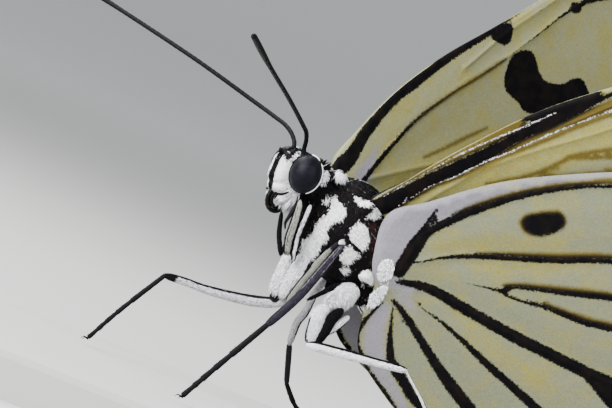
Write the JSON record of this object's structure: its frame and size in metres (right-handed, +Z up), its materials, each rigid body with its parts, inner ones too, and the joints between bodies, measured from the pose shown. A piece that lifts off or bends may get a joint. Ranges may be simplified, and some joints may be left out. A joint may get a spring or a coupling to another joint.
{
  "type": "paper kite butterfly",
  "caption": "Life-size still model of a paper kite butterfly standing with half-raised white wings veined and spotted in black, on a plain flat base.",
  "frame": {"origin": "centre of the bounding box at the underside of the base", "axes": "+X towards the head, +Y to the animal's left, +Z up"},
  "size_m": [0.075, 0.0512, 0.0551],
  "materials": {
    "abdomen": "black scales and hair",
    "antenna_left": "black scales and hair",
    "antenna_right": "black scales and hair",
    "eye_left": "glossy blue-black",
    "eye_right": "glossy blue-black",
    "foreleg_left_coxa": "white scales and hair",
    "foreleg_left_femur": "pale grey scales over black",
    "foreleg_right_coxa": "white scales and hair",
    "foreleg_right_femur": "pale grey scales over black",
    "forewing_left": "scaled wing, chalky white with black veins and spots",
    "forewing_right": "scaled wing, chalky white with black veins and spots",
    "head": "black scales and hair",
    "hindleg_left_coxa": "white scales and hair",
    "hindleg_left_femur": "white scales and hair",
    "hindleg_left_tarsus": "black scales and hair",
    "hindleg_left_tibia": "pale grey scales over black",
    "hindleg_right_coxa": "white scales and hair",
    "hindleg_right_femur": "white scales and hair",
    "hindleg_right_tarsus": "black scales and hair",
    "hindleg_right_tibia": "pale grey scales over black",
    "hindwing_left": "scaled wing, chalky white with black veins and spots",
    "hindwing_right": "scaled wing, chalky white with black veins and spots",
    "midleg_left_coxa": "white scales and hair",
    "midleg_left_femur": "white scales and hair",
    "midleg_left_tarsus": "black scales and hair",
    "midleg_left_tibia": "pale grey scales over black",
    "midleg_right_coxa": "white scales and hair",
    "midleg_right_femur": "white scales and hair",
    "midleg_right_tarsus": "black scales and hair",
    "midleg_right_tibia": "pale grey scales over black",
    "palp_left": "white scales and hair",
    "palp_right": "white scales and hair",
    "proboscis": "black scales and hair",
    "prothorax": "black scales and hair",
    "stand_base": "plain pale grey",
    "thorax": "black scales and hair"
  },
  "bodies": {
    "root": {"abdomen": "abdomen", "antenna_left": "antenna_left", "antenna_right": "antenna_right", "eye_left": "eye_left", "eye_right": "eye_right", "foreleg_left_coxa": "foreleg_left_coxa", "foreleg_left_femur": "foreleg_left_femur", "foreleg_right_coxa": "foreleg_right_coxa", "foreleg_right_femur": "foreleg_right_femur", "forewing_left": "forewing_left", "forewing_right": "forewing_right", "head": "head", "hindleg_left_coxa": "hindleg_left_coxa", "hindleg_left_femur": "hindleg_left_femur", "hindleg_left_tarsus": "hindleg_left_tarsus", "hindleg_left_tibia": "hindleg_left_tibia", "hindleg_right_coxa": "hindleg_right_coxa", "hindleg_right_femur": "hindleg_right_femur", "hindleg_right_tarsus": "hindleg_right_tarsus", "hindleg_right_tibia": "hindleg_right_tibia", "hindwing_left": "hindwing_left", "hindwing_right": "hindwing_right", "midleg_left_coxa": "midleg_left_coxa", "midleg_left_femur": "midleg_left_femur", "midleg_left_tarsus": "midleg_left_tarsus", "midleg_left_tibia": "midleg_left_tibia", "midleg_right_coxa": "midleg_right_coxa", "midleg_right_femur": "midleg_right_femur", "midleg_right_tarsus": "midleg_right_tarsus", "midleg_right_tibia": "midleg_right_tibia", "palp_left": "palp_left", "palp_right": "palp_right", "proboscis": "proboscis", "prothorax": "prothorax", "stand_base": "stand_base", "thorax": "thorax"}
  },
  "joints": []
}
